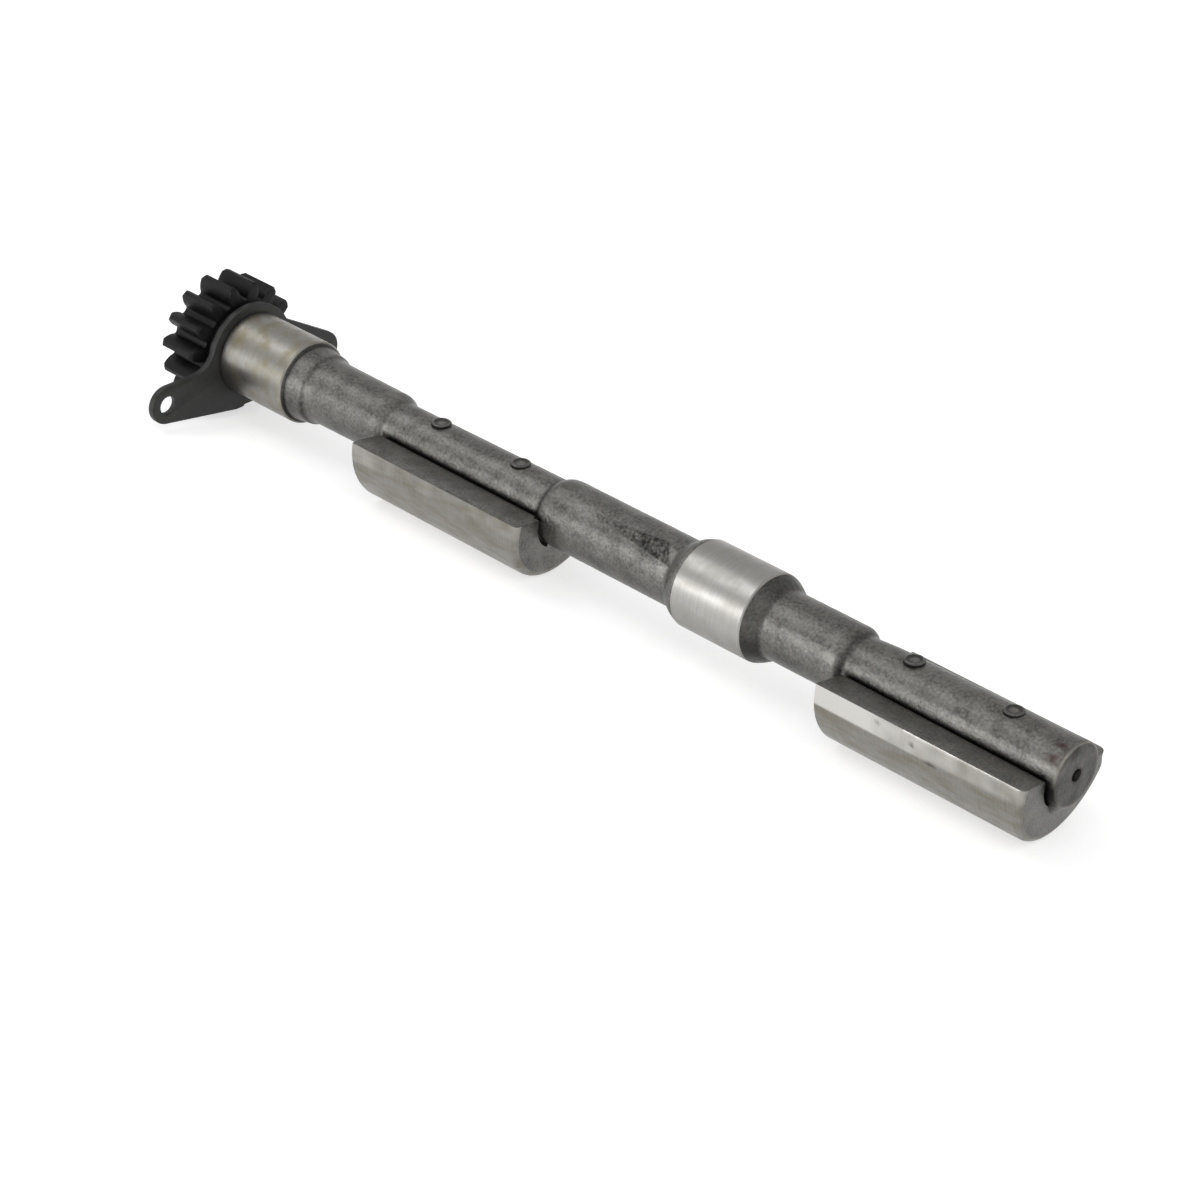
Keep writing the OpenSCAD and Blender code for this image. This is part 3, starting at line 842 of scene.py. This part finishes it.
def tooth_outline(gear):
    """One tooth from gap to gap as radius and angle, with involute flanks and root fillets."""
    step = TAU / gear.teeth
    pitch_r = gear.tooth_module * gear.teeth / 2
    tip_r = pitch_r + (1 + gear.shift) * gear.tooth_module
    root_r = pitch_r - (1.25 - gear.shift) * gear.tooth_module
    base_r = pitch_r * math.cos(gear.pressure)
    fillet = 0.38 * gear.tooth_module

    def half(r):
        flank = math.acos(min(1, base_r / r))
        return ((math.pi / 2 + 2 * gear.shift * math.tan(gear.pressure)) / gear.teeth
                + math.tan(gear.pressure) - gear.pressure - math.tan(flank) + flank)

    rise = [(root_r, step / 2)]
    for degrees in (0, 20, 40, 60):
        a = math.radians(degrees)
        rise.append((root_r + fillet * (1 - math.cos(a)),
                     half(base_r) + fillet * (1 - math.sin(a)) / root_r))
    for i in range(11):
        r = base_r + (tip_r - base_r) * i / 10
        rise.append((r, half(r)))
    top = half(tip_r)
    falling = [(r, -a) for r, a in rise]
    crest = [(tip_r, -top / 3), (tip_r, top / 3)]
    return falling + crest + list(reversed(rise)), tip_r


def tooth_form(gear, bore_r):
    """Mesh of one tooth with its share of the rim, boss and bore."""
    profile, tip_r = tooth_outline(gear)
    front = gear.boss_x - gear.boss_h
    back = front - gear.tooth_l
    cut, boss_r = gear.tooth_chamfer, gear.boss_d / 2
    stations = [(back, cut), (back + cut / 2, cut / 2), (back + cut, 0)]
    stations += [(back + cut + (gear.tooth_l - 2 * cut) * i / 4, 0) for i in range(1, 4)]
    stations += [(front - cut, 0), (front - cut / 2, cut / 2), (front, cut)]
    verts = []
    for radius, turn in profile:
        chain = [(back + MM, bore_r), (back, bore_r + MM), (back, boss_r - 2 * MM)]
        chain += [(x, min(radius, tip_r - less)) for x, less in stations]
        chain += [(front, boss_r), (gear.boss_x - 0.4 * MM, boss_r),
                  (gear.boss_x, boss_r - 0.4 * MM), (gear.boss_x, bore_r)]
        verts += [(FACE_X + x, r * math.cos(turn), r * math.sin(turn)) for x, r in chain]
    mesh = bpy.data.meshes.new("tooth_form")
    mesh.from_pydata(verts, [], grid_faces(len(profile), len(chain)))
    return mesh


def teeth_tree():
    """Turns copies of the tooth form round the shaft's axis and welds them into one ring."""
    tree, ports, given = open_tree(
        "ring_of_teeth", {"Base": "Geometry", "Tooth form": "Object", "Teeth": "Int",
                          "First tooth": "Float", "Weld": "Float", "Finish": "Material"}, "Gear")
    form = put(tree, "GeometryNodeObjectInfo", {"Object": given["Tooth form"]})
    spots = put(tree, "GeometryNodePoints", {"Count": given["Teeth"]})
    index = put(tree, "GeometryNodeInputIndex")
    step = put(tree, "ShaderNodeMath", {0: TAU, 1: given["Teeth"]}, operation="DIVIDE")
    turn = put(tree, "ShaderNodeMath", {0: index.outputs[0], 1: step.outputs[0],
                                        2: given["First tooth"]}, operation="MULTIPLY_ADD")
    euler = put(tree, "ShaderNodeCombineXYZ", {"X": turn.outputs[0]})
    spin = put(tree, "FunctionNodeEulerToRotation", {"Euler": euler.outputs[0]})
    ring = put(tree, "GeometryNodeInstanceOnPoints",
               {"Points": spots.outputs[0], "Instance": form.outputs["Geometry"],
                "Rotation": spin.outputs[0]})
    real = put(tree, "GeometryNodeRealizeInstances", {"Geometry": ring.outputs[0]})
    weld = put(tree, "GeometryNodeMergeByDistance", {"Geometry": real.outputs[0],
                                                     "Distance": given["Weld"]})
    close_tree(tree, weld.outputs[0], given["Finish"])
    return tree, ports


class BALANCESHAFT_OT_gear(bpy.types.Operator):
    """Makes the drive gear from one involute tooth, with its boss, bore and keyway"""
    bl_idname = "balance_shaft.gear"
    bl_label = "Drive gear"

    def execute(self, context):
        gear, look = context.scene.gear_sizes, context.scene.shaft_finishes
        bore_r = context.scene.shaft_sizes.seat_d / 2
        form = object_from("tooth_form", tooth_form(gear, bore_r))
        finish = phosphated_steel("steel_phosphated_gear", look.phosphate, grain_mm=0.9,
                                  dusty=1.5, shine=0.22)
        tree, ports = teeth_tree()
        piece = nodes_to_mesh("drive_gear_toothed", [(0, 0, 0)], tree, {
            ports["Tooth form"]: form, ports["Teeth"]: gear.teeth,
            ports["First tooth"]: gear.turn - math.pi / 2, ports["Weld"]: 0.01 * MM,
            ports["Finish"]: finish})
        bpy.data.objects.remove(form)
        face_outward(piece.data)
        self.cut_keyway(piece, gear)
        edge = piece.modifiers.new("edge break", "BEVEL")
        edge.width, edge.segments = 0.18 * MM, 2
        edge.limit_method, edge.angle_limit = "ANGLE", math.radians(33)
        bake_modifiers(piece)
        soften(piece.data, 30)
        finish_piece(piece, "shaft_and_gear", "black_gear", "drive_gear")
        return {"FINISHED"}

    @staticmethod
    def cut_keyway(piece, gear):
        """Cuts the keyway along the whole bore."""
        back = gear.boss_x - gear.boss_h - gear.tooth_l
        low = Vector((FACE_X + back - 2 * MM, -gear.keyway_w / 2, 0))
        high = Vector((FACE_X + gear.boss_x + 2 * MM, gear.keyway_w / 2, gear.keyway_h))
        form = bmesh.new()
        bmesh.ops.create_cube(form, size=1)
        for vert in form.verts:
            vert.co = Vector([low[i] if vert.co[i] < 0 else high[i] for i in range(3)])
        mesh = bpy.data.meshes.new("keyway_form")
        form.to_mesh(mesh)
        form.free()
        cutter = object_from("keyway_form", mesh)
        slot = piece.modifiers.new("keyway", "BOOLEAN")
        slot.object, slot.operation, slot.solver = cutter, "DIFFERENCE", "EXACT"
        bake_modifiers(piece)
        bpy.data.objects.remove(cutter)


class BALANCESHAFT_OT_plate(bpy.types.Operator):
    """Rounds the edges of the stamped thrust plate"""
    bl_idname = "balance_shaft.plate"
    bl_label = "Thrust plate"

    def execute(self, context):
        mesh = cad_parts["thrust_plate"].data.copy()
        mesh.name = "thrust_plate_stamped"
        form = bmesh.new()
        form.from_mesh(mesh)
        bmesh.ops.remove_doubles(form, verts=form.verts, dist=0.005 * MM)
        bmesh.ops.dissolve_limit(form, angle_limit=math.radians(1), verts=form.verts,
                                 edges=form.edges)
        form.to_mesh(mesh)
        form.free()
        mesh.materials.clear()
        mesh.materials.append(phosphated_steel(
            "steel_phosphated_plate", context.scene.shaft_finishes.plate, grain_mm=0.7, dusty=1.3,
            shine=0.35))
        piece = object_from("thrust_plate_stamped", mesh)
        edge = piece.modifiers.new("stamped edge", "BEVEL")
        edge.width, edge.segments = 0.4 * MM, 3
        edge.limit_method, edge.angle_limit = "ANGLE", math.radians(40)
        bake_modifiers(piece)
        soften(piece.data, 30)
        finish_piece(piece, "thrust_plate", "black_plate", "thrust_plate")
        return {"FINISHED"}


class BALANCESHAFT_OT_key(bpy.types.Operator):
    """Gives the key its steel"""
    bl_idname = "balance_shaft.key"
    bl_label = "Woodruff key"

    def execute(self, context):
        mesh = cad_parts["woodruff_key"].data
        mesh.materials.clear()
        mesh.materials.append(drawn_key_steel(context.scene.shaft_finishes))
        return {"FINISHED"}


class BALANCESHAFT_OT_stage(bpy.types.Operator):
    """Sets the white floor, the soft lamps and the camera"""
    bl_idname = "balance_shaft.stage"
    bl_label = "Stage"

    def execute(self, context):
        self.floor()
        self.world(context.scene)
        middle = Vector((0.2, 0, 0))
        self.lamp("upper_lamp", (-0.72, -0.6, 1.2), middle, (0.9, 0.6), 3.4)
        self.lamp("front_lamp", (-0.22, -1.3, 0.1), middle, (1.1, 0.34), 5.2)
        self.lamp("fill_lamp", (0.9, -1.0, 1.3), middle, (1.0, 1.0), 4)
        self.camera(context.scene)
        context.scene.view_settings.view_transform = "Standard"
        return {"FINISHED"}

    @staticmethod
    def seen_directly(tree):
        """1 for rays that show the background: seen, mirrored or through glass."""
        path = put(tree, "ShaderNodeLightPath").outputs
        either = put(tree, "ShaderNodeMath", {0: path["Is Camera Ray"], 1: path["Is Glossy Ray"]},
                     operation="MAXIMUM")
        return put(tree, "ShaderNodeMath", {0: either.outputs[0],
                                            1: path["Is Transmission Ray"]},
                   operation="MAXIMUM").outputs[0]

    def floor(self):
        """A wide white floor under the shaft that keeps its shadow."""
        mesh = bpy.data.meshes.new("floor")
        z, far = CAD_BOX[0][2], 8
        mesh.from_pydata([(-far, -far, z), (far, -far, z), (far, far, z), (-far, far, z)], [],
                         [(0, 1, 2, 3)])
        material = bpy.data.materials.new("floor_white_paper")
        material.use_nodes = True
        tree = material.node_tree
        tree.nodes.clear()
        paper = put(tree, "ShaderNodeBsdfDiffuse", {"Color": linear("#e4e4e4")})
        glow = put(tree, "ShaderNodeEmission", {"Strength": 0.6})
        both = put(tree, "ShaderNodeAddShader", {0: paper.outputs[0], 1: glow.outputs[0]})
        pick = put(tree, "ShaderNodeMixShader", {0: self.seen_directly(tree), 1: paper.outputs[0],
                                                 2: both.outputs[0]})
        put(tree, "ShaderNodeOutputMaterial", {"Surface": pick.outputs[0]})
        mesh.materials.append(material)
        object_from("floor", mesh)

    def world(self, scene):
        """Soft even light, with a white background."""
        scene.world = bpy.data.worlds.new("studio")
        scene.world.use_nodes = True
        tree = scene.world.node_tree
        tree.nodes.clear()
        light = put(tree, "ShaderNodeBackground", {"Color": linear("#ffffff"), "Strength": 0.5})
        # White up to 6 degrees above the horizon, then falling to a dim ceiling at 20 degrees.
        way = put(tree, "ShaderNodeTexCoord").outputs["Generated"]
        rise = put(tree, "ShaderNodeSeparateXYZ", {0: way}).outputs["Z"]
        white = put(tree, "ShaderNodeBackground", {"Color": linear("#ffffff"),
                                                   "Strength": ramp(tree, rise, 0.1, 0.34, 1, 0.6)})
        pick = put(tree, "ShaderNodeMixShader", {0: self.seen_directly(tree), 1: light.outputs[0],
                                                 2: white.outputs[0]})
        put(tree, "ShaderNodeOutputWorld", {"Surface": pick.outputs[0]})

    @staticmethod
    def lamp(name, place, target, sides, watts):
        """A soft box aimed at the target."""
        data = bpy.data.lights.new(name, "AREA")
        data.shape, data.energy = "RECTANGLE", watts
        data.size, data.size_y = sides
        lamp = object_from(name, data)
        lamp.location = place
        lamp.rotation_euler = (target - Vector(place)).to_track_quat("-Z", "Y").to_euler()

    @staticmethod
    def camera(scene):
        """The camera at the photograph's angle, rolled as the photograph is."""
        data = bpy.data.cameras.new("camera")
        data.lens, data.sensor_width = 101.293, 36
        eye = object_from("camera", data)
        right = Vector((0.716698, 0.678379, 0.161699))
        up = Vector((-0.379974, 0.185431, 0.90622))
        ahead = Vector((-0.584776, 0.710928, -0.390664))
        place = Matrix((right, up, -ahead)).transposed().to_4x4()
        place.translation = (1.01569, -0.98776, 0.5142)
        eye.matrix_world = place
        scene.camera = eye


class BALANCESHAFT_PT_panel(bpy.types.Panel):
    """Lists the steps in the order in which they run"""
    bl_idname = "BALANCESHAFT_PT_panel"
    bl_label = "Balance shaft"
    bl_space_type = "VIEW_3D"
    bl_region_type = "UI"
    bl_category = "Balance shaft"

    def draw(self, context):
        for step in STEPS:
            self.layout.operator(step.bl_idname)


SETTINGS = {"shaft_sizes": ShaftSizes, "weight_sizes": WeightSizes, "gear_sizes": GearSizes,
            "shaft_finishes": Finishes}
STEPS = (BALANCESHAFT_OT_stage, BALANCESHAFT_OT_shaft, BALANCESHAFT_OT_weights,
         BALANCESHAFT_OT_pads, BALANCESHAFT_OT_gear, BALANCESHAFT_OT_plate, BALANCESHAFT_OT_key)


def register():
    for group in SETTINGS.values():
        bpy.utils.register_class(group)
    for name, group in SETTINGS.items():
        setattr(bpy.types.Scene, name, PointerProperty(type=group))
    for step in STEPS:
        bpy.utils.register_class(step)
    bpy.utils.register_class(BALANCESHAFT_PT_panel)


def unregister():
    bpy.utils.unregister_class(BALANCESHAFT_PT_panel)
    for step in reversed(STEPS):
        bpy.utils.unregister_class(step)
    for name, group in reversed(SETTINGS.items()):
        delattr(bpy.types.Scene, name)
        bpy.utils.unregister_class(group)


def main():
    """Builds the part step by step."""
    register()
    steps = bpy.ops.balance_shaft
    for run in (steps.stage, steps.shaft, steps.weights, steps.pads, steps.gear, steps.plate,
                steps.key):
        run()


if __name__ == "__main__":
    main()
